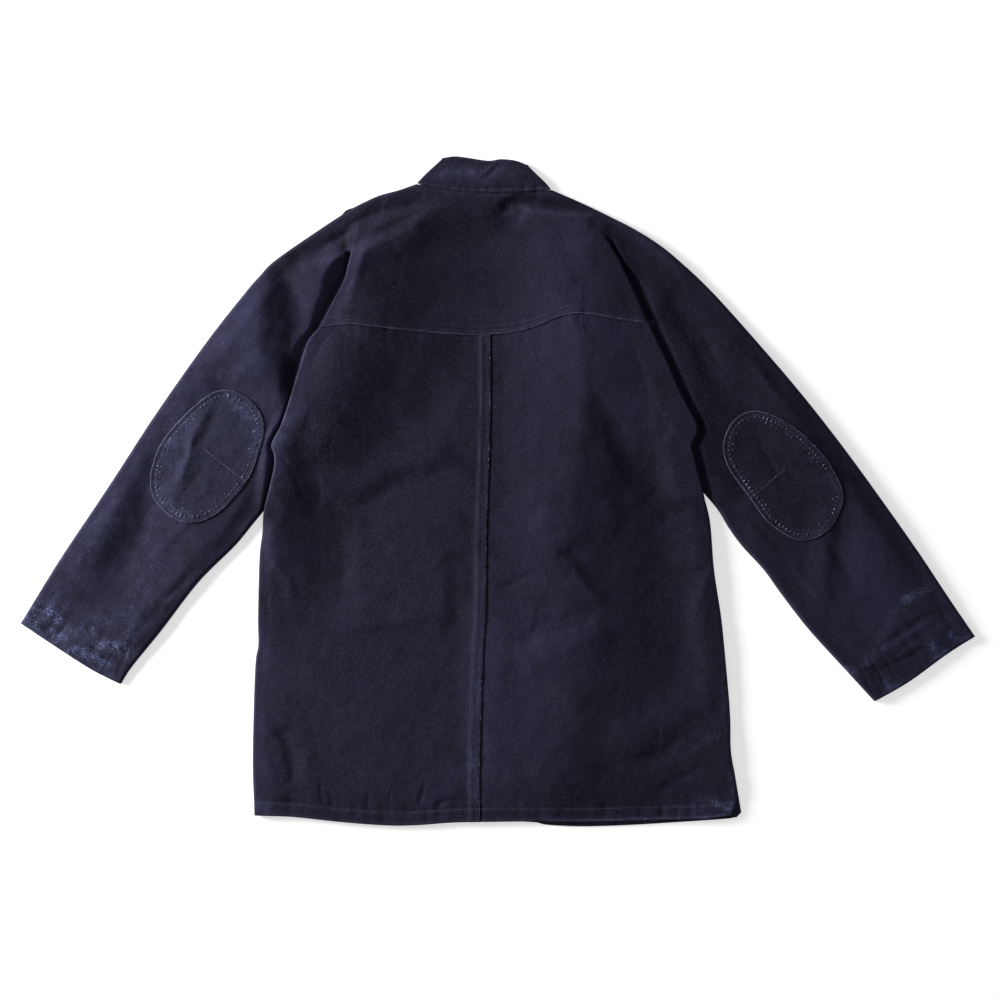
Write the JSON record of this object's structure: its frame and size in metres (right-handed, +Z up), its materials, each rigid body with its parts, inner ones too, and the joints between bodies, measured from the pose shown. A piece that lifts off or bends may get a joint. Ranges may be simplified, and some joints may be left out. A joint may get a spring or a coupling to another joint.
{
  "type": "dotera work jacket",
  "caption": "Hip-length cotton work jacket laid flat with its back up: stand collar, yoke cut in one with long sleeves, centre-back seam, oval elbow patches",
  "frame": {"origin": "on the surface that the garment lies on, under the middle of its bounding box", "axes": "+X across the garment towards the wearer's right sleeve as it shows from its back, +Y from the hem to the collar, +Z up out of the surface"},
  "size_m": [1.1914, 0.8364, 0.0215],
  "materials": {
    "indigo_cotton": "matte heavy plain cotton, dark indigo, worn paler along seams and edges",
    "patch_cotton": "matte heavy plain cotton, dark indigo, bleached along its stitched edge"
  },
  "bodies": {
    "root": {"yoke_and_sleeves": "indigo_cotton", "back_left": "indigo_cotton", "back_right": "indigo_cotton", "collar": "indigo_cotton", "elbow_patch_left": "patch_cotton", "elbow_patch_right": "patch_cotton", "front_left": "indigo_cotton", "front_right": "indigo_cotton"}
  },
  "joints": []
}
